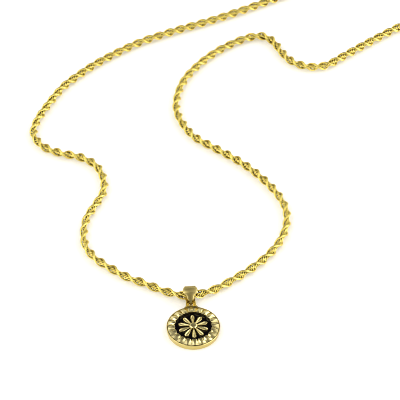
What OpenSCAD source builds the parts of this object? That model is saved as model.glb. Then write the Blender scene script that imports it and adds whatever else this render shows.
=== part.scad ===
// Flower medallion pendant on a rope chain, lying flat as a whole necklace.
// Millimetres. The origin is the centre of the medallion's back, which rests on the surface.
// +Y runs from the medallion to its bail and +Z points up, out of the medallion's face.

/* [Medallion] */
// Outer diameter of the medallion
medallion_d = 19.0; // [18:0.1:20]
// Height of the polished side band, up to the rim's outer edge
band_h = 2.2; // [1.9:0.05:2.4]
// Height of the rim's inner edge above the back
rim_top = 2.6; // [2.5:0.05:2.9]
// Diameter of the sunk field, which runs a little way under the lobes of the rim
field_d = 13.7; // [13.2:0.1:14]
// Height of the floor under the enamel
floor_h = 1.15; // [0.8:0.05:1.15]
// Number of lobes round the rim
lobes = 20; // [16:1:24]
// Depth of the cuts between the lobes
lobe_depth = 0.42; // [0.2:0.02:0.5]
// Length of each lobe's end that stands over the enamel
lobe_reach = 0.4; // [0.2:0.05:0.5]

/* [Enamel] */
// Thickness of the enamel field
enamel_t = 0.4; // [0.3:0.05:0.5]

/* [Flower] */
// Number of petals
petals = 10; // [8:1:12]
// Distance from the centre to a petal's tip
petal_reach = 5.35; // [4.8:0.05:5.7]
// Widest part of a petal
petal_w = 1.5; // [1.1:0.05:1.6]
// Diameter of the round boss in the middle
boss_d = 2.9; // [2.4:0.1:3.2]
// Height of the boss above the enamel
boss_h = 1.35; // [1:0.05:1.5]

/* [Bail] */
// Full width of the bail at its arch
bail_w = 5.3; // [4.6:0.1:5.6]
// Thickness of the bail's metal
bail_t = 0.65; // [0.5:0.05:0.7]
// Inner radius of the arch that the chain passes through
arch_r = 2.2; // [2.1:0.05:2.3]
// Hole in the medallion's lug that the bail hangs in
lug_hole_d = 1.64; // [1.6:0.02:1.8]

/* [Chain] */
// Diameter of the rope chain
chain_d = 3.0; // [2.6:0.1:3]
// Outer diameter of the caps at the chain's ends
cap_d = 3.4; // [3.2:0.1:3.6]
// Length of each cap
cap_l = 4.0; // [3:0.5:5]
// Wire diameter of the clasp ring
clasp_wire = 1.4; // [1.2:0.1:1.4]
// Diameter of the clasp ring along its wire's centre
clasp_d = 6.8; // [6.4:0.1:8]

/* [Hidden] */
$fn = 96;
wire_fn = 32;
gold = "goldenrod";
black = "#1a1010";
// How far a cutting bore runs past the metal
past = 1;

// Small gap between pieces that are set on each other
seat_gap = 0.05;

// Medallion case
case_r = medallion_d / 2;
back_r = case_r - 0.15;
rim_outer_r = case_r - 0.45;
field_r = field_d / 2;
seat_h = 1.6;
edge_round = 0.18;
// Side band and the groove inside it: inset from the outer radius, and drop below the band's height
BAND = [[0, 0.45], [0.05, 0.14], [0.14, 0.02], [0.24, 0], [0.5, 0.3]];

// Rim: stations across it, its crown, the height of its lobes' ends over the seat, and its foot in the case
rim_stations = 4;
rim_bulge = 0.1;
lobe_lift = 0.1;
rim_lip = 0.05;
rim_bury = 0.3;
// Each cut is wide and shallow at the rim's outer edge and narrow and deep at its inner edge
CUT_WIDTH = [0.92, 0.34];
CUT_DEPTH = [0.55, 1];
// A lobe's four edges, from the cut: rise of its top, and share of its reach over the enamel
LOBE = [[0, 0], [0, 0.85], [0.06, 1], [0, 0.85]];

// Lug of the medallion, with the eye that the bail passes through
lug_y = case_r + 1.5;
lug_low = 1.0;
lug_t = 0.9;
lug_corner = 0.7;
// Side of the lug from its shoulder to its foot: distance from the case's edge, and half width
LUG_SIDE = [[2.6, 1.8], [1.4, 1.84], [0.85, 1.93], [0.4, 2.1], [0.05, 2.4], [-0.9, 3.3]];

// Enamel and flower stand on each other
enamel_low = floor_h + seat_gap;
enamel_top = enamel_low + enamel_t;
flower_low = enamel_top + seat_gap;
boss_r = boss_d / 2;

// Petal sections: place along the petal, half width, height of the raised edge, height of the hollow
PETAL = [
    [0.15, 0.30, 0.60, 0.60],
    [0.30, 0.40, 0.62, 0.56],
    [0.45, 0.62, 0.62, 0.40],
    [0.60, 0.85, 0.60, 0.30],
    [0.74, 1.00, 0.57, 0.26],
    [0.86, 0.96, 0.52, 0.27],
    [0.95, 0.68, 0.46, 0.32],
    [1.00, 0.30, 0.36, 0.34]
];
// Points across one petal: place across, and share of the way from the hollow up to the edge
PETAL_ACROSS = [[-0.72, 1.0], [-0.36, 0.3], [0, 0], [0.36, 0.3], [0.72, 1.0]];
petal_side = 0.5;
// Boss from its foot to its flat top: inset from its radius, and share of its height
BOSS = [[0, 0], [0, 0.62], [0.12, 0.82], [0.4, 0.95]];

// Bail: a closed loop of metal round the chain and through the lug's eye
bail_foot_r = 0.95;
bail_foot_t = 0.5;
arch_y = lug_y + 4;
arch_z = arch_r + bail_t;
foot_y = lug_y + 1.4;
foot_z = bail_foot_r + bail_foot_t;
// Half width of the bail as a share of its widest, against the place on its path: 0 to 1 over the
// arch from the back, 1 to 2 down the front leaf, 2 to 3 round the foot, 3 to 4 up the back leaf
BAIL_SHAPE = [
    [0, 0.70], [0.39, 0.70], [0.57, 0.78], [0.65, 0.86], [0.70, 0.91], [0.75, 0.96], [0.83, 1.0],
    [0.88, 0.98], [0.915, 0.84], [0.945, 0.68], [1, 0.55], [1.2, 0.51], [1.4, 0.45], [1.55, 0.38],
    [1.66, 0.30], [1.74, 0.21], [1.8, 0.17], [2, 0.17], [3, 0.17], [3.2, 0.24], [3.4, 0.40],
    [3.6, 0.57], [3.8, 0.67], [4, 0.70]
];
// Bail section from its inner to its outer face: inset of the sides, and share of the thickness
BAIL_SIDES = [[0.08, 0], [0, 0.2], [0, 0.45], [0.48, 1]];
arch_steps = 30;
foot_steps = 10;
leaf_steps = 10;

// Rope chain as a tube, and the clasp's place on the hidden stretch
chain_r = chain_d / 2;
tube_sides = 8;
clasp_at = [81, 182];
clasp_turn = 18;
eye_r = 1.3;
eye_wire_r = 0.4;
cap_z = cap_d / 2;
clasp_reach = cap_l + eye_r + clasp_d / 2;
clasp_dir = [cos(clasp_turn), sin(clasp_turn), 0];
clasp_mid = [clasp_at.x, clasp_at.y, cap_z];
left_end = clasp_mid - clasp_reach * clasp_dir;
right_end = clasp_mid + clasp_reach * clasp_dir;

// Routes of the two halves of the chain, from inside the bail to the caps
LEFT_ROUTE = [
    [0, 14.9, 2.35], [-3.5, 15.3, 2.2], [-9.5, 18.5, 1.6], [-15.5, 22.4, 1.5], [-21.6, 26, 1.5],
    [-27.2, 30.8, 1.5], [-32.3, 36, 1.5], [-35.5, 42.3, 1.5], [-35.8, 49.6, 1.5], [-34.2, 56.8, 1.5],
    [-30.6, 63.2, 1.5], [-27.5, 69.6, 1.5], [-27.3, 76.8, 1.5], [-29.8, 83.4, 1.5], [-35.5, 88, 1.5],
    [-42.4, 90.5, 1.5], [-48.4, 94.5, 1.5], [-51.5, 101, 1.5], [-50, 107.8, 1.5], [-46.6, 114.2, 1.5],
    [-42.8, 120.4, 1.5], [-38.5, 126.3, 1.5], [-33.2, 131.3, 1.5], [-27.6, 136, 1.5], [-21.6, 140.2, 1.5],
    [-15.4, 144, 1.5], [-9, 147.5, 1.5], [-2.2, 150.3, 1.5], [4.7, 152.8, 1.5], [12, 155.2, 1.5],
    [19.4, 157.7, 1.5], [27, 160.6, 1.5], [34.8, 163.8, 1.5], [42.6, 167.2, 1.5], [50.2, 170.6, 1.5],
    [57.8, 173.8, 1.5], [65.4, 176.7, 1.6]
];
RIGHT_ROUTE = [
    [0, 14.9, 2.35], [3.5, 15.2, 2.2], [9.5, 17.8, 1.6], [16, 22, 1.5], [23, 27, 1.5],
    [29.5, 33, 1.5], [34.5, 40, 1.5], [37.4, 47.6, 1.5], [37.9, 55.4, 1.5], [35.7, 63, 1.5],
    [31.6, 70.4, 1.5], [26.4, 77.5, 1.5], [20.5, 83.6, 1.5], [14, 89.3, 1.5], [7.8, 95, 1.5],
    [4, 102, 1.5], [2.1, 109.7, 1.5], [3, 117.4, 1.5], [6, 125.3, 1.5], [11, 132.2, 1.5],
    [17.5, 138.6, 1.5], [24.5, 143.4, 1.5], [32, 146.9, 1.5], [37.5, 147.2, 1.5], [41.3, 143.8, 1.5],
    [43.8, 138, 1.5], [47.5, 132.4, 1.5], [53.5, 129.3, 1.5], [60, 129.6, 1.5], [66.6, 133.8, 1.5],
    [74.4, 139, 1.5], [82.2, 144, 1.5], [90.2, 148.8, 1.5], [98.4, 153.4, 1.5], [106.4, 158.6, 1.5],
    [112.8, 165.8, 1.5], [114.6, 175, 1.5], [109.6, 183.2, 1.5], [100.4, 187, 1.6]
];

function unit(v) = v / norm(v);

function ring_faces(rings, n, closed) = [
    for (i = [0:rings - (closed ? 1 : 2)], k = [0:n - 1])
        let (j = (i + 1) % rings, m = (k + 1) % n)
        [i * n + k, i * n + m, j * n + m, j * n + k]
];

function end_faces(rings, n) = [
    [for (k = [n - 1:-1:0]) k],
    [for (k = [0:n - 1]) (rings - 1) * n + k]
];

// Direction of the chain at each point, straight out at both ends
function heading(route, i, first, last) =
    i == 0 ? first : i == len(route) - 1 ? last : unit(route[i + 1] - route[i - 1]);

function tube_ring(at, along) =
    let (side = unit([along.y, -along.x, 0]), up = cross(side, along))
    [for (k = [0:tube_sides - 1])
        let (a = 360 * k / tube_sides)
        at + chain_r * (cos(a) * side + sin(a) * up)];

module tube(route, first, last) {
    polyhedron(
        points = [for (i = [0:len(route) - 1]) each tube_ring(route[i], heading(route, i, first, last))],
        faces = concat(ring_faces(len(route), tube_sides, false), end_faces(len(route), tube_sides)),
        convexity = 10
    );
}

// Place of a lobe's edge round the rim at a station across it, in lobes; a crest points to the bail
function lobe_place(i, edge, u) =
    let (cut = CUT_WIDTH[0] + (CUT_WIDTH[1] - CUT_WIDTH[0]) * u)
    i - 0.5 + [0, cut / 2, 0.5, 1 - cut / 2][edge];

function rim_point(place, r, z) = let (a = 360 * place / lobes) [r * cos(a), r * sin(a), z];

// One edge of a lobe: foot outside, stations across its top, its end over the enamel, foot inside
function rim_section(i, edge) =
    let (
        inner_r = field_r - lobe_reach * LOBE[edge][1],
        foot_r = field_r + rim_lip,
        inside = lobe_place(i, edge, 1)
    )
    concat(
        [rim_point(lobe_place(i, edge, 0), rim_outer_r, seat_h - rim_bury)],
        [for (j = [0:rim_stations - 1])
            let (
                u = j / (rim_stations - 1),
                depth = lobe_depth * (CUT_DEPTH[0] + (CUT_DEPTH[1] - CUT_DEPTH[0]) * u),
                top = band_h + (rim_top - band_h) * u + rim_bulge * sin(180 * u)
            )
            rim_point(
                lobe_place(i, edge, u), rim_outer_r + (inner_r - rim_outer_r) * u,
                top + (edge == 0 ? -depth : LOBE[edge][0])
            )],
        [
            rim_point(inside, inner_r, seat_h + lobe_lift),
            rim_point(inside, foot_r, seat_h + lobe_lift),
            rim_point(inside, foot_r, seat_h - rim_bury)
        ]
    );

module rim() {
    polyhedron(
        points = [for (i = [0:lobes - 1], edge = [0:len(LOBE) - 1]) each rim_section(i, edge)],
        faces = ring_faces(lobes * len(LOBE), rim_stations + 4, true),
        convexity = 10
    );
}

module case_body() {
    groove_r = case_r - BAND[len(BAND) - 1][0];
    rotate_extrude()
        polygon(concat(
            [[0, 0], [back_r - edge_round, 0], [back_r, edge_round]],
            [for (p = BAND) [case_r - p[0], band_h - p[1]]],
            [[groove_r, seat_h], [field_r, seat_h], [field_r, floor_h], [0, floor_h]]
        ));
}

module lug_outline() {
    shoulder = LUG_SIDE[0];
    hull()
        for (side = [-1, 1])
            translate([side * (shoulder[1] - lug_corner), case_r + shoulder[0]]) circle(r = lug_corner);
    polygon(concat(
        [for (p = LUG_SIDE) [p[1], case_r + p[0]]],
        [for (k = [len(LUG_SIDE) - 1:-1:0]) [-LUG_SIDE[k][1], case_r + LUG_SIDE[k][0]]]
    ));
}

module lug() {
    translate([0, 0, lug_low])
        linear_extrude(lug_t) lug_outline();
}

module medallion() {
    color(gold)
        difference() {
            union() {
                case_body();
                rim();
                lug();
            }
            translate([0, lug_y, lug_low - past]) cylinder(d = lug_hole_d, h = lug_t + 2 * past);
        }
}

module enamel_field() {
    color(black)
        translate([0, 0, enamel_low]) cylinder(r = field_r - seat_gap, h = enamel_t);
}

// One petal's section: the base and the raised edges round a hollow middle
function petal_section(row) =
    let (y = row[0] * petal_reach, w = row[1] * petal_w / 2, edge = row[2], hollow = row[3])
    concat(
        [[w, y, flower_low], [w, y, flower_low + edge * petal_side]],
        [for (i = [len(PETAL_ACROSS) - 1:-1:0])
            let (p = PETAL_ACROSS[i])
            [p[0] * w, y, flower_low + hollow + (edge - hollow) * p[1]]],
        [[-w, y, flower_low + edge * petal_side], [-w, y, flower_low]]
    );

module petal() {
    n = len(PETAL_ACROSS) + 4;
    polyhedron(
        points = [for (row = PETAL) each petal_section(row)],
        faces = concat(ring_faces(len(PETAL), n, false), end_faces(len(PETAL), n)),
        convexity = 6
    );
}

module flower() {
    color(gold)
        union() {
            for (i = [0:petals - 1]) rotate([0, 0, 360 * i / petals]) petal();
            translate([0, 0, flower_low])
                rotate_extrude()
                    polygon(concat(
                        [[0, 0]], [for (p = BOSS) [boss_r - p[0], boss_h * p[1]]], [[0, boss_h]]
                    ));
        }
}

// Angle at which the two straight leaves leave the arch
leaf_run = arch_y - foot_y;
leaf_rise = arch_z - foot_z;
leaf_turn = asin((arch_r + bail_t - bail_foot_r - bail_foot_t) / norm([leaf_run, leaf_rise]));
leaf_tilt = atan2(leaf_rise, leaf_run);
front_angle = leaf_tilt + 90 + leaf_turn;
back_angle = leaf_tilt - 90 - leaf_turn;

// Stations round the bail: centre and radius of the inner face, thickness, angle, and place on the path
function arch_station(t) = [arch_y, arch_z, arch_r, bail_t, back_angle + (front_angle - back_angle) * t, t];
function foot_station(t) =
    [foot_y, foot_z, bail_foot_r, bail_foot_t, front_angle + (back_angle + 360 - front_angle) * t, 2 + t];
function leaf_stations(from, to, angle, place) = [
    for (k = [1:leaf_steps - 1]) let (t = k / leaf_steps)
        concat([for (i = [0:3]) from[i] + (to[i] - from[i]) * t], [angle, place + t])
];

bail_path = concat(
    [for (k = [0:arch_steps]) arch_station(k / arch_steps)],
    leaf_stations(arch_station(0), foot_station(0), front_angle, 1),
    [for (k = [0:foot_steps]) foot_station(k / foot_steps)],
    leaf_stations(foot_station(0), arch_station(0), back_angle, 3)
);

// One section of the bail: flat inside, bevelled towards its outer face
function bail_section(s) =
    let (
        out = [0, cos(s[4]), sin(s[4])],
        inner = [0, s[0], s[1]] + s[2] * out,
        share = lookup(s[5], BAIL_SHAPE),
        side = [for (p = BAIL_SIDES)
            let (at = inner + p[1] * s[3] * out) [(bail_w / 2 - p[0]) * share, at.y, at.z]]
    )
    concat([for (p = side) [-p.x, p.y, p.z]], [for (k = [len(side) - 1:-1:0]) side[k]]);

module bail() {
    color(gold)
        polyhedron(
            points = [for (s = bail_path) each bail_section(s)],
            faces = ring_faces(len(bail_path), 2 * len(BAIL_SIDES), true),
            convexity = 10
        );
}

module chain_left() {
    color(gold) tube(concat(LEFT_ROUTE, [left_end]), [-1, 0, 0], clasp_dir);
}

module chain_right() {
    color(gold) tube(concat(RIGHT_ROUTE, [right_end]), [1, 0, 0], -clasp_dir);
}

// Cap on a chain's end, with an upright eye; it points along +X from the chain
module end_cap() {
    rotate([0, 90, 0]) cylinder(d = cap_d, h = cap_l);
    translate([cap_l + eye_r, 0, 0])
        rotate([90, 0, 0]) rotate_extrude() translate([eye_r, 0]) circle(r = eye_wire_r, $fn = wire_fn);
}

module end_cap_left() {
    color(gold) translate(left_end) rotate([0, 0, clasp_turn]) end_cap();
}

module end_cap_right() {
    color(gold) translate(right_end) rotate([0, 0, clasp_turn + 180]) end_cap();
}

module clasp_ring() {
    color(gold)
        translate(clasp_mid)
            rotate_extrude() translate([clasp_d / 2, 0]) circle(d = clasp_wire, $fn = wire_fn);
}

medallion();
enamel_field();
flower();
bail();
chain_left();
chain_right();
end_cap_left();
end_cap_right();
clasp_ring();
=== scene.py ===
"""Looks of a flower medallion pendant on its rope chain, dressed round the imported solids.

Sizes in the classes are millimetres, as a goldsmith measures them, and turn into metres where a
mesh is made. The origin is the middle of the medallion's back, which rests on the surface, +Y
runs to the bail and +Z points up, out of the medallion's face.
"""

import logging
import math
from dataclasses import dataclass
from enum import Enum, IntEnum

import bpy
import numpy as np
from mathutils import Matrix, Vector


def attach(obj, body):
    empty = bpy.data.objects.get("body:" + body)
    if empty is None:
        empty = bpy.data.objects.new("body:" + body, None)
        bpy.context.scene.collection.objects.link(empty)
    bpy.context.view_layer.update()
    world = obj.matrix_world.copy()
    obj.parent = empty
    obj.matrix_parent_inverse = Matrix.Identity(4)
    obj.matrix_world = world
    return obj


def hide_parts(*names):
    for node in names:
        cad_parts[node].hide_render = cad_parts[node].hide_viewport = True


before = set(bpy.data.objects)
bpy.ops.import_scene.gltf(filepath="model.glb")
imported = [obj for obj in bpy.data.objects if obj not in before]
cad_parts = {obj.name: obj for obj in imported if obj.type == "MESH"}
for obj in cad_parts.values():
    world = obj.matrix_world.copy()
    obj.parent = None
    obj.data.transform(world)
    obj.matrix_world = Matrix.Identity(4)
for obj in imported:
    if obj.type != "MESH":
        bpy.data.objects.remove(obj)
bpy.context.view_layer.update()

MM = 0.001
UM = MM / 1000
BODY = "root"
# A turned profile stops this many millimetres from the axis, so that its faces don't collapse there
AXIS_GAP = 0.001
# The Mix node's colour sockets, by number because its other sockets have the same names
MIX_A, MIX_B, MIX_RESULT = 6, 7, 2
log = logging.getLogger("pendant")


def linear(hex_colour: str) -> tuple[float, float, float, float]:
    """Turn an sRGB hex colour into linear RGBA, by the standard curve.

    Args:
        hex_colour: Six hex digits, with or without a leading hash.

    Returns:
        Linear red, green, blue and an alpha of 1.
    """
    digits = hex_colour.lstrip("#")
    channels = [int(digits[i:i + 2], 16) / 255 for i in (0, 2, 4)]
    red, green, blue = (c / 12.92 if c <= 0.04045 else ((c + 0.055) / 1.055) ** 2.4 for c in channels)
    return red, green, blue, 1.0


def add_node(
    tree: bpy.types.NodeTree, kind: str, settings: dict | None = None, inputs: dict | None = None
) -> bpy.types.Node:
    """Add one node with its settings and what feeds it.

    Args:
        tree: Node tree that gets the node.
        kind: Blender's type name of the node.
        settings: Attributes to set on the node.
        inputs: Value or output socket for each input, by the input's name or index.

    Returns:
        The new node.
    """
    node = tree.nodes.new(kind)
    for name, value in (settings or {}).items():
        setattr(node, name, value)
    for name, value in (inputs or {}).items():
        if isinstance(value, bpy.types.NodeSocket):
            tree.links.new(value, node.inputs[name])
        else:
            node.inputs[name].default_value = value
    return node


def per_mm(size_mm: float) -> float:
    """Texture scale that gives a pattern whose features are size_mm apart."""
    return 1.0 / (size_mm * MM)


class Gold(Enum):
    """Tones of yellow gold plate, as sRGB hex."""

    # The chain's wire
    YELLOW = "#F5E492"
    DEEP_YELLOW = "#ECD984"
    # Rim, flower and fittings, and what the fittings drift to
    BRIGHT = "#F3E6B6"
    WARM = "#EAD79A"
    # Case and bail, each the other's drift; rim and flower drift to the first
    GREENISH = "#E2D498"
    DEEP = "#D0BC80"
    # Painted shade in the recesses of everything but the chain, and in the gaps between its links
    SHADED = "#63460F"
    SHADED_WIRE = "#665010"


@dataclass(frozen=True)
class GoldPlate:
    """Yellow gold plate over brass: a metal whose colour is its reflection.

    The tone drifts slowly over the piece, because plating is a little uneven, and painted shade
    darkens it in the recesses, where the piece's own metal closes in. A fine bump stands for the
    polish marks. A metal keeps the default IOR.
    """

    name: str
    # The plate drifts between these two tones
    tone: Gold
    drift: Gold
    roughness: float
    # Real polish marks are hundredths of a millimetre apart, too fine to show, so they are drawn
    # several times as coarse
    polish_mm: float = 0.35
    polish_depth_um: float = 1.0
    # Distance over which the tone drifts
    drift_mm: float = 6.0
    # Painted shade: a recess is where other metal of the piece closes in within this distance. It takes
    # the full painted shade up to the first share of open view, and has the plain tone from the second one
    # on
    painted_shade_mm: float = 0.5
    painted_shade_from: float = 0.15
    painted_shade_to: float = 0.7
    # Colour of the painted shade
    shade: Gold = Gold.SHADED

    # Detail and roughness of the noise that drifts the tone, then of the polish marks
    CLOUDY = {"Detail": 3.0, "Roughness": 0.55}
    GRAINY = {"Detail": 4.0, "Roughness": 0.6}
    # Least and greatest share of the plate's roughness along the polish marks
    SPREAD = (0.8, 1.25)
    # Rays that look for a recess to paint shade into, from each point
    RECESS_RAYS = 6

    def build(self) -> bpy.types.Material:
        """Build the node material.

        Returns:
            The material.
        """
        material = bpy.data.materials.new(self.name)
        material.use_nodes = True
        tree = material.node_tree
        shader = tree.nodes["Principled BSDF"]
        shader.inputs["Metallic"].default_value = 1.0
        place = add_node(tree, "ShaderNodeTexCoord").outputs["Object"]
        cloud = add_node(tree, "ShaderNodeTexNoise", inputs={
            "Vector": place, "Scale": per_mm(self.drift_mm), **self.CLOUDY})
        tone = add_node(tree, "ShaderNodeMix", {"data_type": "RGBA"}, {
            "Factor": cloud.outputs["Fac"],
            MIX_A: linear(self.tone.value), MIX_B: linear(self.drift.value)})
        # Painted shade: ambient occlusion from the piece's own metal mixes the shade colour into the tone
        look_round = {"samples": self.RECESS_RAYS, "only_local": True}
        opening = add_node(tree, "ShaderNodeAmbientOcclusion", look_round, {
            "Distance": self.painted_shade_mm * MM})
        reached = add_node(tree, "ShaderNodeMapRange", {"interpolation_type": "SMOOTHSTEP"}, {
            "Value": opening.outputs["AO"], "From Min": self.painted_shade_from, "From Max": self.painted_shade_to})
        shaded = add_node(tree, "ShaderNodeMix", {"data_type": "RGBA"}, {
            "Factor": reached.outputs["Result"],
            MIX_A: linear(self.shade.value), MIX_B: tone.outputs[MIX_RESULT]})
        tree.links.new(shaded.outputs[MIX_RESULT], shader.inputs["Base Color"])
        grain = add_node(tree, "ShaderNodeTexNoise", inputs={
            "Vector": place, "Scale": per_mm(self.polish_mm), **self.GRAINY})
        finest, coarsest = (self.roughness * share for share in self.SPREAD)
        rough = add_node(tree, "ShaderNodeMapRange", inputs={
            "Value": grain.outputs["Fac"], "To Min": finest, "To Max": coarsest})
        tree.links.new(rough.outputs["Result"], shader.inputs["Roughness"])
        bump = add_node(tree, "ShaderNodeBump", inputs={
            "Height": grain.outputs["Fac"], "Distance": self.polish_depth_um * UM, "Strength": 1.0})
        tree.links.new(bump.outputs["Normal"], shader.inputs["Normal"])
        return material


@dataclass(frozen=True)
class HardEnamel:
    """Black hard enamel: glass fused in the sunk field, ground level and fire polished.

    Glass gives it a deep colour under a sharp clear gloss, with a faint orange-peel wave.
    """

    name: str = "black_hard_enamel"
    colour: str = "#150B10"
    deep_colour: str = "#0B0709"
    roughness: float = 0.06
    ior: float = 1.5
    # The orange-peel wave: distance between its swells, depth, and detail of its noise
    wave_mm: float = 1.6
    wave_depth_um: float = 1.5
    wave_detail: float = 2.0

    def build(self) -> bpy.types.Material:
        """Build the node material.

        Returns:
            The material.
        """
        material = bpy.data.materials.new(self.name)
        material.use_nodes = True
        tree = material.node_tree
        shader = tree.nodes["Principled BSDF"]
        shader.inputs["IOR"].default_value = self.ior
        shader.inputs["Roughness"].default_value = self.roughness
        place = add_node(tree, "ShaderNodeTexCoord").outputs["Object"]
        wave = add_node(tree, "ShaderNodeTexNoise", inputs={
            "Vector": place, "Scale": per_mm(self.wave_mm), "Detail": self.wave_detail})
        tint = add_node(tree, "ShaderNodeMix", {"data_type": "RGBA"}, {
            "Factor": wave.outputs["Fac"],
            MIX_A: linear(self.colour), MIX_B: linear(self.deep_colour)})
        tree.links.new(tint.outputs[MIX_RESULT], shader.inputs["Base Color"])
        bump = add_node(tree, "ShaderNodeBump", inputs={
            "Height": wave.outputs["Fac"], "Distance": self.wave_depth_um * UM, "Strength": 1.0})
        tree.links.new(bump.outputs["Normal"], shader.inputs["Normal"])
        return material


# The cast case is buffed on a wheel: sharp reflections on the band, painted shade by the lug and groove
POLISHED_CASE = GoldPlate("polished_gold_plate_case", Gold.GREENISH, Gold.DEEP, 0.12,
                          painted_shade_mm=2.5, painted_shade_from=0.45, painted_shade_to=1.0)
# The rim is cut with a graver: each slope flashes pale or goes dark as a whole, with painted shade in its
# recesses
CUT_RIM = GoldPlate("cut_gold_plate_rim", Gold.BRIGHT, Gold.GREENISH, 0.16, polish_mm=0.25)
# The flower is cast and lightly brushed: painted shade darkens its hollows, leaving soft pale edges round
# them
SATIN_FLOWER = GoldPlate("satin_gold_plate_flower", Gold.BRIGHT, Gold.GREENISH, 0.2, polish_mm=0.15,
                         painted_shade_mm=0.7, painted_shade_from=0.25, painted_shade_to=0.85)
# The bail is brushed: one broad, soft reflection that fades towards the foot, and painted shade where the
# loop closes in
SATIN_BAIL = GoldPlate("satin_gold_plate_bail", Gold.DEEP, Gold.GREENISH, 0.3,
                       painted_shade_mm=2.0, painted_shade_from=0.4, painted_shade_to=1.0)
# The links are drawn wire, tumbled bright: thin bright lines over painted olive shade in the gaps
DRAWN_WIRE = GoldPlate("polished_gold_plate_wire", Gold.YELLOW, Gold.DEEP_YELLOW, 0.15, drift_mm=9.0,
                       painted_shade_mm=1.2, painted_shade_from=0.3, painted_shade_to=0.75, shade=Gold.SHADED_WIRE)
# Caps and clasp are turned and buffed: smooth, with clean reflections, and painted shade in their recesses
TURNED_FITTING = GoldPlate("polished_gold_plate_fitting", Gold.BRIGHT, Gold.WARM, 0.15)
BLACK_ENAMEL = HardEnamel()


class Shell:
    """Points in millimetres and four-sided faces, gathered into one mesh."""

    def __init__(self) -> None:
        """Start with no faces."""
        self.points: list[np.ndarray] = []
        self.quads: list[np.ndarray] = []
        self.finishes: list[np.ndarray] = []
        self.count = 0

    def add(self, points: np.ndarray, quads: np.ndarray, finish: int = 0) -> None:
        """Add one surface.

        Args:
            points: Points as rows, in millimetres.
            quads: Four point numbers a row, counted from this surface's first point.
            finish: Number of the material slot that the surface takes.
        """
        self.points.append(points)
        self.quads.append(quads + self.count)
        self.finishes.append(np.full(len(quads), finish))
        self.count += len(points)

    def add_grid(
        self, grid: np.ndarray, around: bool = False, across: bool = False, finish: int = 0
    ) -> None:
        """Add a sheet of rows of points.

        Args:
            grid: Array of rows, columns and three coordinates.
            around: Whether the last row joins the first.
            across: Whether the last column joins the first.
            finish: Number of the material slot that the surface takes.
        """
        rows, columns = grid.shape[:2]
        i = np.arange(rows if around else rows - 1)[:, None]
        k = np.arange(columns if across else columns - 1)[None, :]
        j, m = (i + 1) % rows, (k + 1) % columns
        quads = np.stack([i * columns + k, i * columns + m, j * columns + m, j * columns + k], -1)
        self.add(grid.reshape(-1, 3), quads.reshape(-1, 4), finish)

    def to_object(
        self, name: str, crease_deg: float, finishes: list[bpy.types.Material]
    ) -> bpy.types.Object:
        """Make the mesh object, in metres, smooth but for its creases.

        Args:
            name: Name of the object.
            crease_deg: Edges that bend more than this stay sharp.
            finishes: Materials in the order of their numbers.

        Returns:
            The object, linked to the scene.
        """
        points = np.concatenate(self.points) * MM
        quads = np.concatenate(self.quads)
        mesh = bpy.data.meshes.new(name)
        mesh.vertices.add(len(points))
        mesh.vertices.foreach_set("co", points.astype(np.float32).ravel())
        mesh.loops.add(quads.size)
        mesh.loops.foreach_set("vertex_index", quads.astype(np.int32).ravel())
        mesh.polygons.add(len(quads))
        mesh.polygons.foreach_set("loop_start", np.arange(0, quads.size, 4, dtype=np.int32))
        mesh.polygons.foreach_set("material_index", np.concatenate(self.finishes).astype(np.int32))
        mesh.update(calc_edges=True)
        mesh.validate()
        mesh.polygons.foreach_set("use_smooth", np.ones(len(mesh.polygons), bool))
        mesh.set_sharp_from_angle(angle=math.radians(crease_deg))
        for finish in finishes:
            mesh.materials.append(finish)
        piece = bpy.data.objects.new(name, mesh)
        bpy.context.scene.collection.objects.link(piece)
        return piece


def seat(piece: bpy.types.Object, slot: str, *nodes: str) -> None:
    """Let a piece stand for its nodes and ride with the necklace.

    Args:
        piece: The finished piece.
        slot: The record's material slot; not used.
        nodes: The solids that the piece stands for.
    """
    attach(piece, BODY)
    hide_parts(*nodes)
    log.info("%s: %d faces", piece.name, len(piece.data.polygons))


def smooth_between(at: np.ndarray, places: np.ndarray, values: np.ndarray) -> np.ndarray:
    """Read a table along a smooth curve through its rows.

    Args:
        at: Places to read.
        places: The table's places, rising.
        values: The table's values there.

    Returns:
        One value for each place.
    """
    slopes = np.gradient(values, places)
    k = np.clip(np.searchsorted(places, at) - 1, 0, len(places) - 2)
    step = places[k + 1] - places[k]
    t = np.clip((at - places[k]) / step, 0, 1)
    return (
        (2 * t**3 - 3 * t**2 + 1) * values[k] + (t**3 - 2 * t**2 + t) * step * slopes[k]
        + (3 * t**2 - 2 * t**3) * values[k + 1] + (t**3 - t**2) * step * slopes[k + 1]
    )


def length_along(points: np.ndarray) -> np.ndarray:
    """Measure a line, as the length from its start to each of its points."""
    return np.concatenate([[0], np.cumsum(np.linalg.norm(np.diff(points, axis=0), axis=1))])


def read_along(at: np.ndarray, length: np.ndarray, points: np.ndarray) -> np.ndarray:
    """Read the places at some lengths along a line, from its points and the length to each."""
    return np.stack([np.interp(at, length, column) for column in points.T], -1)


def revolve(shell: Shell, profile: np.ndarray, steps: int, finish: int = 0) -> None:
    """Turn a profile once round the Z axis.

    Args:
        shell: What the surface is added to.
        profile: Rows of radius and height, in millimetres.
        steps: Steps round the turn.
        finish: Number of the material slot.
    """
    turn = np.linspace(0, 2 * math.pi, steps, endpoint=False)[:, None]
    radius, height = profile[None, :, 0], profile[None, :, 1]
    grid = np.stack([radius * np.cos(turn), radius * np.sin(turn), height + 0 * turn], -1)
    shell.add_grid(grid, around=True, finish=finish)


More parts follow.
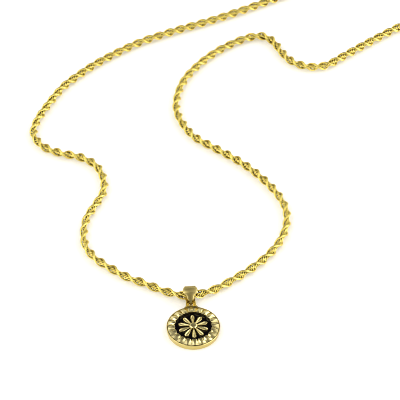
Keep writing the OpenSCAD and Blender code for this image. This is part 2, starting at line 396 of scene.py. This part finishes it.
def round_corners(
    profile: np.ndarray, reach: float, steps: int = 4, most: float = 0.45
) -> np.ndarray:
    """Round the inner corners of an open outline.

    Args:
        profile: Rows of two coordinates.
        reach: How far from each corner its curve starts, in millimetres.
        steps: Points along each curve.
        most: Largest share of the edge beside it that a curve may take.

    Returns:
        The longer outline.
    """
    rows = [profile[0]]
    for before, corner, after in zip(profile, profile[1:], profile[2:]):
        start_way, end_way = before - corner, after - corner
        start = corner + start_way * min(reach / np.linalg.norm(start_way), most)
        end = corner + end_way * min(reach / np.linalg.norm(end_way), most)
        for t in np.linspace(0, 1, steps):
            rows.append((1 - t) ** 2 * start + 2 * t * (1 - t) * corner + t**2 * end)
    rows.append(profile[-1])
    return np.array(rows)


class MedallionFinish(IntEnum):
    """Numbers of the medallion's two finishes."""

    CASE = 0
    RIM = 1


@dataclass
class Medallion:
    """The case, its cut rim and the lug, soldered into one piece."""

    # Case: radius of the band and the back, bevel round the back, height of the band
    case_r: float = 9.5
    back_r: float = 9.35
    back_bevel: float = 0.18
    band_h: float = 2.2
    # Sunk field: its radius, its floor, and the seat that the rim stands on
    field_r: float = 6.85
    floor_h: float = 1.15
    seat_h: float = 1.6
    edge_round: float = 0.06
    case_steps: int = 256
    # Rim: its outer radius, the height of its inner edge, and how it swells in between
    rim_outer_r: float = 9.05
    rim_top: float = 2.6
    rim_bulge: float = 0.1
    # Lobes: number, crown over the cuts, and how far their ends stand over the enamel
    lobes: int = 20
    crown: float = 0.06
    lobe_reach: float = 0.4
    # Cuts: depth, then width as a share of a lobe and share of the depth, each outside and inside
    lobe_depth: float = 0.42
    cut_width: tuple[float, float] = (0.92, 0.34)
    cut_depth: tuple[float, float] = (0.55, 1.0)
    # How far the bottom and the shoulders of a cut are softened, as a share of a lobe and of the depth
    cut_bottom: float = 0.012
    cut_shoulder: float = 0.05
    # Share of the reach that a lobe's end has gained at the edge of the cut
    end_at_cut: float = 0.85
    # The rim's outer wall runs down past the seat, and leans in by a hair
    skirt: float = 0.3
    wall_lean: float = 0.01
    steps_per_lobe: int = 36
    rim_stations: int = 20
    # Lug: height of its underside, thickness, corner radius, and where its eye is
    lug_low: float = 1.0
    lug_t: float = 0.9
    lug_corner: float = 0.7
    eye_y: float = 11.0
    eye_r: float = 0.82
    # Bevel of the lug's edges, and the share of it that is left half-way round
    bevel: float = 0.12
    bevel_round: float = 0.3
    corner_steps: int = 12
    lug_steps: int = 120
    # Edges that bend more than this stay sharp
    crease_deg: float = 40.0

    # Edge of the case: distance in from its radius, depth below the band's height, out to the groove
    CASE_EDGE = ((0.0, 0.45), (0.05, 0.14), (0.14, 0.02), (0.24, 0.0), (0.5, 0.3))
    # Rounded end of a lobe: distance out from its tip, depth below its edge
    LOBE_END = ((0.07, 0.0), (0.02, 0.03), (0.0, 0.09))
    # Underside of that end: distance out from its tip, height above the seat
    LOBE_UNDERSIDE = ((0.0, 0.14), (0.05, 0.1))
    # Side of the lug: distance from the case's edge, half width
    LUG_SIDE = ((2.6, 1.8), (1.4, 1.84), (0.85, 1.93), (0.4, 2.1), (0.05, 2.4), (-0.9, 3.3))

    def case(self, shell: Shell) -> None:
        """Add the flat back, the polished band, its groove and the sunk field.

        Args:
            shell: The medallion's shell.
        """
        edge = [[self.case_r - inset, self.band_h - depth] for inset, depth in self.CASE_EDGE]
        groove_r = edge[-1][0]
        profile = np.array([
            [AXIS_GAP, 0], [self.back_r - self.back_bevel, 0], [self.back_r, self.back_bevel],
            *edge, [groove_r, self.seat_h], [self.field_r, self.seat_h],
            [self.field_r, self.floor_h], [AXIS_GAP, self.floor_h],
        ])
        rounded = round_corners(profile, self.edge_round)
        revolve(shell, rounded, self.case_steps, finish=MedallionFinish.CASE)

    def rim(self, shell: Shell) -> None:
        """Add the rim of lobes with the wedge cuts between them.

        Args:
            shell: The medallion's shell.
        """
        steps = self.lobes * self.steps_per_lobe
        turn = np.linspace(0, 2 * math.pi, steps, endpoint=False)[:, None]
        # From 0 at the outer edge to 1 at the inner edge
        inward = np.linspace(0, 1, self.rim_stations)[None, :]
        # From 0 in a cut to 0.5 in the middle of a lobe
        place = np.abs((self.lobes * turn / (2 * math.pi)) % 1.0 - 0.5)
        from_cut = np.sqrt(place**2 + self.cut_bottom**2)
        outer_w, inner_w = self.cut_width
        slope = 1 - from_cut / ((outer_w + (inner_w - outer_w) * inward) / 2)
        cut = (slope + np.sqrt(slope**2 + self.cut_shoulder**2)) / 2
        outer_share, inner_share = self.cut_depth
        depth = self.lobe_depth * (outer_share + (inner_share - outer_share) * inward)
        notch = inner_w / 2
        in_cut = np.clip(from_cut / notch, 0, 1)
        past_cut = np.clip((from_cut - notch) / (0.5 - notch), 0, 1)
        reach = self.end_at_cut * in_cut + (1 - self.end_at_cut) * past_cut
        inner_r = self.field_r - self.lobe_reach * reach
        radius = self.rim_outer_r + (inner_r - self.rim_outer_r) * inward
        height = (
            self.band_h + (self.rim_top - self.band_h) * inward
            + self.rim_bulge * np.sin(math.pi * inward) - depth * cut + self.crown * 2 * place
        )
        edge = height[:, -1:]
        low = np.full_like(edge, self.seat_h)
        ends = [(inner_r + out, edge - drop) for out, drop in self.LOBE_END]
        ends += [(inner_r + out, low + rise) for out, rise in self.LOBE_UNDERSIDE]
        out, rise = self.LOBE_UNDERSIDE[-1]
        ends.append((np.full_like(edge, self.field_r + out), low + rise))
        end_radii, end_heights = zip(*ends)
        wall_r = radius[:, :1]
        radius = np.concatenate([wall_r, wall_r - self.wall_lean, radius[:, 1:-1], *end_radii], 1)
        height = np.concatenate([low - self.skirt, height[:, :-1], *end_heights], 1)
        grid = np.stack([radius * np.cos(turn), radius * np.sin(turn), height], -1)
        shell.add_grid(grid, around=True, finish=MedallionFinish.RIM)

    def lug_outline(self) -> np.ndarray:
        """Draw the lug's outline, anticlockwise, with the same step between its points.

        Returns:
            Rows of x and y.
        """
        side = np.array([[half, self.case_r + out] for out, half in self.LUG_SIDE])
        half, top = side[0]
        quarter = np.linspace(0, math.pi / 2, self.corner_steps)[1:, None]
        corner = np.array([half - self.lug_corner, top])
        shoulder = corner + self.lug_corner * np.hstack([np.cos(quarter), np.sin(quarter)])
        right = np.vstack([side[::-1], shoulder])
        whole = np.vstack([right, right[::-1] * [-1, 1], right[:1]])
        length = length_along(whole)
        at = np.linspace(0, length[-1], self.lug_steps, endpoint=False)
        return read_along(at, length, whole)

    def lug(self, shell: Shell) -> None:
        """Add the lug, a plate with an eye and softened edges.

        Args:
            shell: The medallion's shell.
        """
        centre = np.array([0.0, self.eye_y])
        away = self.lug_outline() - centre
        reach = np.linalg.norm(away, axis=1, keepdims=True)
        way = away / reach
        low, top, eye = self.lug_low, self.lug_low + self.lug_t, self.eye_r
        b, soft = self.bevel, self.bevel * self.bevel_round
        columns = [
            (eye, low + b), (eye, top - b), (eye + soft, top - soft), (eye + b, top),
            (reach - b, top), (reach - soft, top - soft), (reach, top - b), (reach, low + b),
            (reach - b, low), (eye + b, low),
        ]
        grid = np.stack([
            np.hstack([centre + way * r, np.full_like(reach, z)]) for r, z in columns], 1)
        shell.add_grid(grid[:, ::-1], around=True, across=True, finish=MedallionFinish.CASE)

    def build(self) -> bpy.types.Object:
        """Build and dress the medallion.

        Returns:
            The piece.
        """
        shell = Shell()
        self.case(shell)
        self.rim(shell)
        self.lug(shell)
        finishes = [POLISHED_CASE.build(), CUT_RIM.build()]
        piece = shell.to_object("medallion_case", self.crease_deg, finishes)
        seat(piece, "medallion_gold", "medallion")
        return piece


@dataclass
class EnamelField:
    """The black enamel disc, drawn up a little where it meets the wall."""

    radius: float = 6.8
    low: float = 1.2
    top: float = 1.6
    # How high the enamel is drawn up at the wall, and over what width
    creep: float = 0.09
    creep_w: float = 0.3
    creep_steps: int = 6
    flat_steps: int = 8
    turn_steps: int = 160
    crease_deg: float = 60.0

    def build(self) -> bpy.types.Object:
        """Build and dress the enamel.

        Returns:
            The piece.
        """
        flat_r = self.radius - self.creep_w
        flat = [[r, self.top] for r in np.linspace(AXIS_GAP, flat_r, self.flat_steps)]
        near_wall = np.linspace(0, 1, self.creep_steps + 1)[1:]
        rising = [[flat_r + self.creep_w * t, self.top + self.creep * t**3] for t in near_wall]
        profile = np.array([*flat, *rising, [self.radius, self.low], [AXIS_GAP, self.low]])
        shell = Shell()
        revolve(shell, profile[::-1], self.turn_steps)
        piece = shell.to_object("enamel_disc", self.crease_deg, [BLACK_ENAMEL.build()])
        seat(piece, "black_enamel", "enamel_field")
        return piece


@dataclass
class Flower:
    """Ten hollowed petals round a boss, one casting."""

    petals: int = 10
    # Distance from the middle to a petal's tip, widest part of a petal, height of the underside
    reach: float = 5.35
    width: float = 1.5
    low: float = 1.65
    # The tip rounds off from this place on, down to a last share of the half width
    tip_from: float = 0.86
    tip_blunt: float = 0.02
    # The hollow takes this share of the width, and the power says how steeply its sides rise
    hollow_w: float = 0.78
    hollow_power: float = 2.4
    # Boss: radius, height above the underside, and rounding of its shoulder
    boss_r: float = 1.45
    boss_h: float = 1.35
    boss_round: float = 0.1
    # Steps across the hollow, along the petal, and from fine_from on to the tip
    hollow_steps: int = 15
    petal_steps: int = 24
    fine_steps: int = 12
    fine_from: float = 0.85
    boss_steps: int = 72
    crease_deg: float = 55.0

    # Place along the petal, share of the half width, height of the edge, height of the hollow
    ALONG = np.array([
        [0.15, 0.30, 0.60, 0.60], [0.30, 0.40, 0.62, 0.56], [0.45, 0.62, 0.62, 0.40],
        [0.60, 0.85, 0.60, 0.30], [0.74, 1.00, 0.57, 0.24], [0.86, 1.00, 0.52, 0.24],
        [0.95, 0.90, 0.46, 0.28], [1.00, 0.80, 0.38, 0.34],
    ])
    # Side of a petal, outwards and down: share of the half width, share of the edge's height
    PETAL_SIDE = ((0.9, 0.93), (0.97, 0.78), (1.0, 0.55), (1.0, 0.0))
    # Top of the boss: distance in from its radius, depth below its top
    BOSS_TOP = ((0.0, 0.4), (0.1, 0.2), (0.35, 0.06), (0.6, 0.01))

    def petal(self) -> np.ndarray:
        """Work out one petal that points along +Y.

        Returns:
            Grid of points, rows along the petal.
        """
        place, share, edge, hollow = self.ALONG.T
        # The even steps end at fine_from, so the fine ones leave out their first place
        fine = np.sin(np.linspace(0, 1, self.fine_steps)[1:] * math.pi / 2)
        t = np.concatenate([
            np.linspace(place[0], self.fine_from, self.petal_steps),
            self.fine_from + (1 - self.fine_from) * fine])
        past = np.clip((t - self.tip_from) / (1 - self.tip_from), 0, 1)
        half = smooth_between(t, place, share) * self.width / 2
        half = half * np.sqrt(np.maximum(1 - past**2, self.tip_blunt**2))
        edge_h, hollow_h = smooth_between(t, place, edge), smooth_between(t, place, hollow)
        rows = []
        for q in np.linspace(-self.hollow_w, self.hollow_w, self.hollow_steps):
            rise = (abs(q) / self.hollow_w) ** self.hollow_power
            rows.append((q * half, hollow_h + (edge_h - hollow_h) * rise))
        left = [(-q * half, edge_h * h) for q, h in reversed(self.PETAL_SIDE)]
        right = [(q * half, edge_h * h) for q, h in self.PETAL_SIDE]
        columns = [*left, *rows, *right]
        return np.stack([np.stack([x, t * self.reach, self.low + z], -1) for x, z in columns], 1)

    def build(self) -> bpy.types.Object:
        """Build and dress the flower.

        Returns:
            The piece.
        """
        shell = Shell()
        petal = self.petal()
        for k in range(self.petals):
            angle = 2 * math.pi * k / self.petals
            cos, sin = math.cos(angle), math.sin(angle)
            spin = np.array([[cos, sin, 0], [-sin, cos, 0], [0, 0, 1]])
            shell.add_grid((petal @ spin)[:, ::-1], across=True)
        top = self.low + self.boss_h
        shoulder = [[self.boss_r - inset, top - depth] for inset, depth in self.BOSS_TOP]
        profile = np.array([[self.boss_r, self.low], *shoulder, [AXIS_GAP, top]])
        revolve(shell, round_corners(profile, self.boss_round), self.boss_steps)
        piece = shell.to_object("flower_casting", self.crease_deg, [SATIN_FLOWER.build()])
        seat(piece, "flower_gold", "flower")
        return piece


@dataclass
class Bail:
    """The tapered loop that hangs in the lug's eye and takes the chain.

    Seen from the side it is a band round two circles that both rest on the surface: the wide arch
    over the chain, and the small foot through the eye.
    """

    width: float = 5.3
    # Thickness, inner radius and place of the arch, then of the foot
    metal: float = 0.65
    arch_r: float = 2.2
    arch_y: float = 15.0
    foot_metal: float = 0.5
    foot_r: float = 0.95
    foot_y: float = 12.4
    arch_steps: int = 64
    foot_steps: int = 24
    leaf_steps: int = 20
    crease_deg: float = 40.0

    # Place on the path, share of the half width: 0 to 1 over the arch from the back, 1 to 2 down the
    # front leaf, 2 to 3 round the foot, 3 to 4 up the back leaf
    SHAPE = np.array([
        [0, 0.70], [0.39, 0.70], [0.57, 0.78], [0.65, 0.86], [0.70, 0.91], [0.75, 0.96], [0.83, 1.0],
        [0.88, 0.98], [0.915, 0.84], [0.945, 0.68], [1, 0.55], [1.2, 0.51], [1.4, 0.45], [1.55, 0.38],
        [1.66, 0.30], [1.74, 0.21], [1.8, 0.17], [2, 0.17], [3, 0.17], [3.2, 0.24], [3.4, 0.40],
        [3.6, 0.57], [3.8, 0.67], [4, 0.70],
    ])
    # Inset of the sides in millimetres, share of the thickness, from the inner to the outer face
    SIDES = (
        (0.1, 0.0), (0.02, 0.06), (0.0, 0.2), (0.0, 0.42), (0.05, 0.52), (0.44, 0.96), (0.52, 1.0),
    )

    def stations(self) -> np.ndarray:
        """Work out the loop's path.

        Returns:
            Rows of centre y, centre z, radius of the inner face, thickness, angle and place.
        """
        arch = np.array([self.arch_y, self.arch_r + self.metal, self.arch_r, self.metal])
        foot = np.array([self.foot_y, self.foot_r + self.foot_metal, self.foot_r, self.foot_metal])
        run, rise = arch[:2] - foot[:2]
        # The back leaf lies flat, and the front leaf leans twice as much as the line of centres
        back, front = -math.pi / 2, math.pi / 2 + 2 * math.atan2(rise, run)
        rest = back + 2 * math.pi - front
        leaf = np.linspace(0, 1, self.leaf_steps)[1:-1]
        rows = [[*arch, back + (front - back) * t, t] for t in np.linspace(0, 1, self.arch_steps)]
        rows += [[*(arch + (foot - arch) * t), front, 1 + t] for t in leaf]
        rows += [[*foot, front + rest * t, 2 + t] for t in np.linspace(0, 1, self.foot_steps)]
        rows += [[*(foot + (arch - foot) * t), back, 3 + t] for t in leaf]
        return np.array(rows)

    def build(self) -> bpy.types.Object:
        """Build and dress the bail.

        Returns:
            The piece.
        """
        y, z, radius, metal, angle, place = self.stations().T
        share = smooth_between(place, *self.SHAPE.T)
        right = []
        for inset, part in self.SIDES:
            x, out = (self.width / 2 - inset) * share, radius + part * metal
            right.append(np.stack([x, y + out * np.cos(angle), z + out * np.sin(angle)], -1))
        left = [side * np.array([-1, 1, 1]) for side in right]
        grid = np.stack([*left, *reversed(right)], 1)
        shell = Shell()
        shell.add_grid(grid, around=True, across=True)
        piece = shell.to_object("bail_loop", self.crease_deg, [SATIN_BAIL.build()])
        seat(piece, "bail_gold", "bail")
        return piece


# Middle line of each half of the chain, from inside the bail out to its cap: x, y and height
LEFT_ROUTE = (
    (0, 14.9, 2.35), (-3.5, 15.3, 2.2), (-9.5, 18.5, 1.6), (-15.5, 22.4, 1.5), (-21.6, 26, 1.5),
    (-27.2, 30.8, 1.5), (-32.3, 36, 1.5), (-35.5, 42.3, 1.5), (-35.8, 49.6, 1.5), (-34.2, 56.8, 1.5),
    (-30.6, 63.2, 1.5), (-27.5, 69.6, 1.5), (-27.3, 76.8, 1.5), (-29.8, 83.4, 1.5), (-35.5, 88, 1.5),
    (-42.4, 90.5, 1.5), (-48.4, 94.5, 1.5), (-51.5, 101, 1.5), (-50, 107.8, 1.5), (-46.6, 114.2, 1.5),
    (-42.8, 120.4, 1.5), (-38.5, 126.3, 1.5), (-33.2, 131.3, 1.5), (-27.6, 136, 1.5), (-21.6, 140.2, 1.5),
    (-15.4, 144, 1.5), (-9, 147.5, 1.5), (-2.2, 150.3, 1.5), (4.7, 152.8, 1.5), (12, 155.2, 1.5),
    (19.4, 157.7, 1.5), (27, 160.6, 1.5), (34.8, 163.8, 1.5), (42.6, 167.2, 1.5), (50.2, 170.6, 1.5),
    (57.8, 173.8, 1.5), (65.4, 176.7, 1.6), (72.73, 179.31, 1.7),
)
RIGHT_ROUTE = (
    (0, 14.9, 2.35), (3.5, 15.2, 2.2), (9.5, 17.8, 1.6), (16, 22, 1.5), (23, 27, 1.5),
    (29.5, 33, 1.5), (34.5, 40, 1.5), (37.4, 47.6, 1.5), (37.9, 55.4, 1.5), (35.7, 63, 1.5),
    (31.6, 70.4, 1.5), (26.4, 77.5, 1.5), (20.5, 83.6, 1.5), (14, 89.3, 1.5), (7.8, 95, 1.5),
    (4, 102, 1.5), (2.1, 109.7, 1.5), (3, 117.4, 1.5), (6, 125.3, 1.5), (11, 132.2, 1.5),
    (17.5, 138.6, 1.5), (24.5, 143.4, 1.5), (32, 146.9, 1.5), (37.5, 147.2, 1.5), (41.3, 143.8, 1.5),
    (43.8, 138, 1.5), (47.5, 132.4, 1.5), (53.5, 129.3, 1.5), (60, 129.6, 1.5), (66.6, 133.8, 1.5),
    (74.4, 139, 1.5), (82.2, 144, 1.5), (90.2, 148.8, 1.5), (98.4, 153.4, 1.5), (106.4, 158.6, 1.5),
    (112.8, 165.8, 1.5), (114.6, 175, 1.5), (109.6, 183.2, 1.5), (100.4, 187, 1.6), (89.27, 184.69, 1.7),
)


@dataclass
class RopeChain:
    """Half of the rope chain: oval links laid round each other in a right-handed twist."""

    name: str
    node: str
    route: tuple[tuple[float, float, float], ...]
    # Angle of the twist at the bail
    turn_deg: float = 0.0
    # Length of a full turn at the bail. With growing y the turn gets shorter: the twist is closer by
    # y over closes_over, up to closed_from and no more past it
    pitch: float = 12.4
    closes_over: float = 260.0
    closed_from: float = 105.0
    # The links bulge past the tube that they stand for, so their line is raised to rest them
    lift: float = 0.1
    # Wire, distance between links, half a link's length and height, distance from line to link
    wire: float = 0.5
    step: float = 0.4
    half_length: float = 2.3
    half_height: float = 1.1
    offset: float = 0.5
    # Power by which the links get shorter where the twist is closer
    shorter: float = 0.75
    # Lean of the links across the line, which draws each bulge into an S
    tilt_deg: float = 26.0
    span_steps: int = 40
    segments: int = 14
    sides: int = 6
    # Round wire has no sharp edge
    crease_deg: float = 180.0

    def line(self) -> tuple[np.ndarray, np.ndarray]:
        """Draw the smooth line through the route.

        Returns:
            Points along the line and the length from its start to each.
        """
        p = np.array(self.route, float) + [0, 0, self.lift]
        p = np.vstack([2 * p[0] - p[1], p, 2 * p[-1] - p[-2]])
        t = np.linspace(0, 1, self.span_steps, endpoint=False)[:, None]
        spans = [
            b + ((c - a) * t + (2 * a - 5 * b + 4 * c - d) * t**2 + (3 * b - a - 3 * c + d) * t**3) / 2
            for a, b, c, d in zip(p, p[1:], p[2:], p[3:])
        ]
        points = np.vstack([*spans, p[-2][None]])
        return points, length_along(points)

    def twist(self, points: np.ndarray, length: np.ndarray) -> tuple[np.ndarray, np.ndarray]:
        """Turn the rope, closer with the distance from the pendant, as the photograph shows it.

        Args:
            points: Points along the line.
            length: Length from the line's start to each.

        Returns:
            Turns made up to each point, and how much closer the twist is there.
        """
        closer = 1 + np.minimum(points[:, 1], self.closed_from) / self.closes_over
        mean = (closer[1:] + closer[:-1]) / 2
        turns = np.concatenate([[0], np.cumsum(mean * np.diff(length))]) / self.pitch
        return turns, closer

    def bend_links(
        self, middle: np.ndarray, long_way: np.ndarray, high_way: np.ndarray, half: np.ndarray
    ) -> np.ndarray:
        """Bend the wire into oval links.

        Args:
            middle: Middle of each link, as rows.
            long_way: Direction of each link's length, as rows.
            high_way: Direction of each link's height, as rows.
            half: Half the length of each link.

        Returns:
            Array of links, steps round the link, steps round the wire and coordinates.
        """
        r = self.wire / 2
        face = np.cross(long_way, high_way)[:, None, None]
        middle, long_way, high_way = middle[:, None], long_way[:, None], high_way[:, None]
        long_r, high_r = (half - r)[:, None, None], self.half_height - r
        theta = np.linspace(0, 2 * math.pi, self.segments, endpoint=False)[None, :, None]
        cos, sin = np.cos(theta), np.sin(theta)
        ring = middle + long_r * cos * long_way + high_r * sin * high_way
        outward = high_r * cos * long_way + long_r * sin * high_way
        outward /= np.linalg.norm(outward, axis=2, keepdims=True)
        psi = np.linspace(0, 2 * math.pi, self.sides, endpoint=False)[None, None, :, None]
        return ring[:, :, None] + r * np.cos(psi) * outward[:, :, None] + r * np.sin(psi) * face

    def links(self) -> np.ndarray:
        """Lay the links along the line.

        Returns:
            Array of links, steps round the link, steps round the wire and coordinates.
        """
        points, length = self.line()
        s = np.arange(self.half_length, length[-1], self.step)
        middle = read_along(s, length, points)
        before, after = (read_along(s + shift, length, points) for shift in (-self.step, self.step))
        along = after - before
        along /= np.linalg.norm(along, axis=1, keepdims=True)
        side = np.cross([0, 0, 1.0], along)
        side /= np.linalg.norm(side, axis=1, keepdims=True)
        up = np.cross(along, side)
        turns, closer = (np.interp(s, length, value) for value in self.twist(points, length))
        # Every second link lies on the other side of the line, which makes two strands
        strand = math.pi * (np.arange(len(s)) % 2)
        phase = 2 * math.pi * turns + math.radians(self.turn_deg) + strand
        out = np.cos(phase)[:, None] * side + np.sin(phase)[:, None] * up
        tilt = math.radians(self.tilt_deg)
        long_way = math.cos(tilt) * along + math.sin(tilt) * np.cross(along, out)
        half = self.half_length / closer**self.shorter
        return self.bend_links(middle + self.offset * out, long_way, out, half)

    def faces(self, count: int) -> np.ndarray:
        """Number the faces of the links.

        Args:
            count: Number of links.

        Returns:
            Four point numbers a row.
        """
        i, j, k = np.ogrid[:count, :self.segments, :self.sides]
        next_j, next_k = (j + 1) % self.segments, (k + 1) % self.sides
        corners = ((j, k), (j, next_k), (next_j, next_k), (next_j, k))
        quads = [(i * self.segments + ring) * self.sides + wire for ring, wire in corners]
        return np.stack(quads, -1).reshape(-1, 4)

    def build(self) -> bpy.types.Object:
        """Build and dress this half of the chain.

        Returns:
            The piece.
        """
        links = self.links()
        shell = Shell()
        shell.add(links.reshape(-1, 3), self.faces(len(links)))
        piece = shell.to_object(self.name, self.crease_deg, [DRAWN_WIRE.build()])
        seat(piece, "chain_gold", self.node)
        return piece


@dataclass
class Fittings:
    """The caps and the clasp ring, whose solids stay as they are."""

    nodes: tuple[str, ...] = ("end_cap_left", "end_cap_right", "clasp_ring")

    def dress(self) -> None:
        """Give each fitting its plated finish."""
        finish = TURNED_FITTING.build()
        for node in self.nodes:
            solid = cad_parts[node]
            solid.data.materials.clear()
            solid.data.materials.append(finish)
            log.info("%s: dressed", node)


def direction(azimuth_deg: float, elevation_deg: float) -> Vector:
    """Point along a compass angle, 0 at +Y and 90 at +X, and so many degrees above the horizon."""
    turn, rise = math.radians(azimuth_deg), math.radians(elevation_deg)
    return Vector((math.sin(turn) * math.cos(rise), math.cos(turn) * math.cos(rise), math.sin(rise)))


@dataclass(frozen=True)
class SoftBox:
    """A rectangular soft box that faces the middle of the necklace, sized in metres."""

    name: str
    azimuth_deg: float
    elevation_deg: float
    width: float
    height: float
    # Radiance of its face
    glow: float
    away: float = 1.1
    aim_y: float = 0.07

    def hang(self) -> None:
        """Hang the soft box in the scene."""
        data = bpy.data.lights.new(self.name, "AREA")
        data.shape = "RECTANGLE"
        data.size, data.size_y = self.width, self.height
        data.energy = self.glow * math.pi * self.width * self.height
        light = bpy.data.objects.new(self.name, data)
        way = direction(self.azimuth_deg, self.elevation_deg)
        light.location = Vector((0.0, self.aim_y, 0.0)) + way * self.away
        light.rotation_mode = "QUATERNION"
        light.rotation_quaternion = (-way).to_track_quat("-Z", "Y")
        bpy.context.scene.collection.objects.link(light)


@dataclass
class Studio:
    """A plain pale floor, soft boxes and the camera."""

    floor_mm: float = 12000.0
    # The floor lies a hair below the necklace, so that their faces don't fight
    floor_drop_mm: float = 0.01
    floor_crease_deg: float = 30.0
    floor_colour: str = "#F7F6F3"
    floor_roughness: float = 0.45
    # The floor glows a little, as a backlit sheet does, so that it comes out almost white
    floor_glow: float = 0.25
    world_strength: float = 2.0
    # Share of the way from the middle line to the back or front over which their light is mixed
    world_blend: float = 0.25
    # The camera stands at these angles from the medallion and aims a little past it
    distance_mm: float = 1400.0
    elevation_deg: float = 47.5
    azimuth_deg: float = 4.2
    aim_down_deg: float = 45.617
    aim_turn_deg: float = 4.343
    # Size of a pixel at the medallion, which gives the focal length
    mm_per_pixel: float = 0.353
    image_px: int = 400
    sensor_mm: float = 36.0
    far_m: float = 100.0
    # A hard tone curve, a little under, makes the metal dark in its gaps and keeps its gold
    view: str = "Standard"
    look: str = "High Contrast"
    exposure: float = -0.4
    filter_px: float = 1.0

    # Height above the horizon in degrees, glow as a share of the strength
    BEHIND = ((0, 0.12), (12, 0.1), (20, 0.25), (29, 0.5), (38, 0.28), (49, 0.05), (62, 0.15), (80, 0.18))
    IN_FRONT = ((0, 0.15), (12, 0.08), (20, 0.08), (28, 0.35), (38, 0.08), (49, 0.1), (62, 0.12), (80, 0.18))
    BESIDE = ((0, 0.9), (12, 0.25), (20, 0.35), (28, 0.3), (38, 0.95), (49, 0.75), (62, 0.7), (80, 0.18))

    SOFT_BOXES = (
        SoftBox("low_panel_right", 120, 8, 1.2, 0.3, glow=4.0),
        SoftBox("low_panel_left", 240, 5, 1.2, 0.18, glow=3.0),
        SoftBox("window_right", 60, 38, 1.15, 0.2, glow=1.3),
        SoftBox("window_left", 240, 62, 1.15, 0.3, glow=1.3),
    )

    def camera(self) -> None:
        """Set the camera at the photograph's angle to the medallion."""
        data = bpy.data.cameras.new("camera")
        data.sensor_width = self.sensor_mm
        data.lens = self.sensor_mm * self.distance_mm / (self.image_px * self.mm_per_pixel)
        data.clip_end = self.far_m
        camera = bpy.data.objects.new("camera", data)
        towards = direction(self.azimuth_deg, -self.elevation_deg)
        camera.location = -towards * self.distance_mm * MM
        aim = direction(self.aim_turn_deg, -self.aim_down_deg)
        camera.rotation_mode = "QUATERNION"
        camera.rotation_quaternion = aim.to_track_quat("-Z", "Y")
        bpy.context.scene.collection.objects.link(camera)
        bpy.context.scene.camera = camera

    def floor(self) -> None:
        """Lay the pale floor under the necklace."""
        half, low = self.floor_mm / 2, -self.floor_drop_mm
        corners = [[-half, -half, low], [half, -half, low], [half, half, low], [-half, half, low]]
        shell = Shell()
        shell.add(np.array(corners), np.array([[0, 1, 2, 3]]))
        material = bpy.data.materials.new("pale_floor")
        material.use_nodes = True
        shader = material.node_tree.nodes["Principled BSDF"]
        shader.inputs["Base Color"].default_value = linear(self.floor_colour)
        shader.inputs["Roughness"].default_value = self.floor_roughness
        shader.inputs["Emission Color"].default_value = linear(self.floor_colour)
        shader.inputs["Emission Strength"].default_value = self.floor_glow
        shell.to_object("floor", self.floor_crease_deg, [material])

    def surroundings(self) -> None:
        """Set the studio round the necklace, as light from each height above the horizon.

        Behind the necklace a pale wall stands over the table, in front the room is dim, and on both
        sides windows reach high up.
        """
        world = bpy.data.worlds.new("studio")
        world.use_nodes = True
        tree = world.node_tree
        way = add_node(tree, "ShaderNodeTexCoord").outputs["Generated"]
        axes = add_node(tree, "ShaderNodeSeparateXYZ", inputs={"Vector": way}).outputs
        sides = []
        for rows in (self.BEHIND, self.IN_FRONT, self.BESIDE):
            ramp = add_node(tree, "ShaderNodeValToRGB", inputs={"Fac": axes["Z"]})
            marks = ramp.color_ramp.elements
            while len(marks) < len(rows):
                marks.new(1.0)
            for mark, (height_deg, glow) in zip(marks, rows):
                mark.position = math.sin(math.radians(height_deg))
                mark.color = (glow, glow, glow, 1.0)
            sides.append(ramp.outputs["Color"])
        at_back, in_front, beside = sides
        back_share = add_node(tree, "ShaderNodeMapRange", inputs={
            "Value": axes["Y"], "From Min": -self.world_blend, "From Max": self.world_blend})
        middle = add_node(tree, "ShaderNodeMix", {"data_type": "RGBA"}, {
            "Factor": back_share.outputs["Result"], MIX_A: in_front, MIX_B: at_back})
        # The square of the compass direction's x is 1 to the sides and 0 to the back and front
        level = add_node(tree, "ShaderNodeVectorMath", {"operation": "MULTIPLY"}, {
            0: way, 1: (1.0, 1.0, 0.0)})
        compass = add_node(tree, "ShaderNodeVectorMath", {"operation": "NORMALIZE"}, {
            0: level.outputs[0]})
        east = add_node(tree, "ShaderNodeSeparateXYZ", inputs={"Vector": compass.outputs[0]}).outputs["X"]
        side_share = add_node(tree, "ShaderNodeMath", {"operation": "MULTIPLY"}, {0: east, 1: east})
        mixed = add_node(tree, "ShaderNodeMix", {"data_type": "RGBA"}, {
            "Factor": side_share.outputs[0], MIX_A: middle.outputs[MIX_RESULT], MIX_B: beside})
        background = tree.nodes["Background"]
        tree.links.new(mixed.outputs[MIX_RESULT], background.inputs["Color"])
        background.inputs["Strength"].default_value = self.world_strength
        bpy.context.scene.world = world

    def lights(self) -> None:
        """Set the surroundings and the soft boxes."""
        self.surroundings()
        for box in self.SOFT_BOXES:
            box.hang()

    def develop(self) -> None:
        """Set how light turns into the picture's tones, and how crisp its pixels are."""
        scene = bpy.context.scene
        scene.view_settings.view_transform = self.view
        scene.view_settings.look = self.look
        scene.view_settings.exposure = self.exposure
        scene.cycles.filter_width = self.filter_px


def main() -> None:
    """Build the camera, each sub-assembly and the studio in order."""
    logging.basicConfig(level=logging.INFO, format="%(name)s %(message)s")
    studio = Studio()
    studio.camera()
    RopeChain("rope_chain_left", "chain_left", LEFT_ROUTE, turn_deg=64).build()
    RopeChain("rope_chain_right", "chain_right", RIGHT_ROUTE, turn_deg=106).build()
    Medallion().build()
    EnamelField().build()
    Flower().build()
    Bail().build()
    Fittings().dress()
    studio.floor()
    studio.lights()
    studio.develop()


if __name__ == "__main__":
    main()
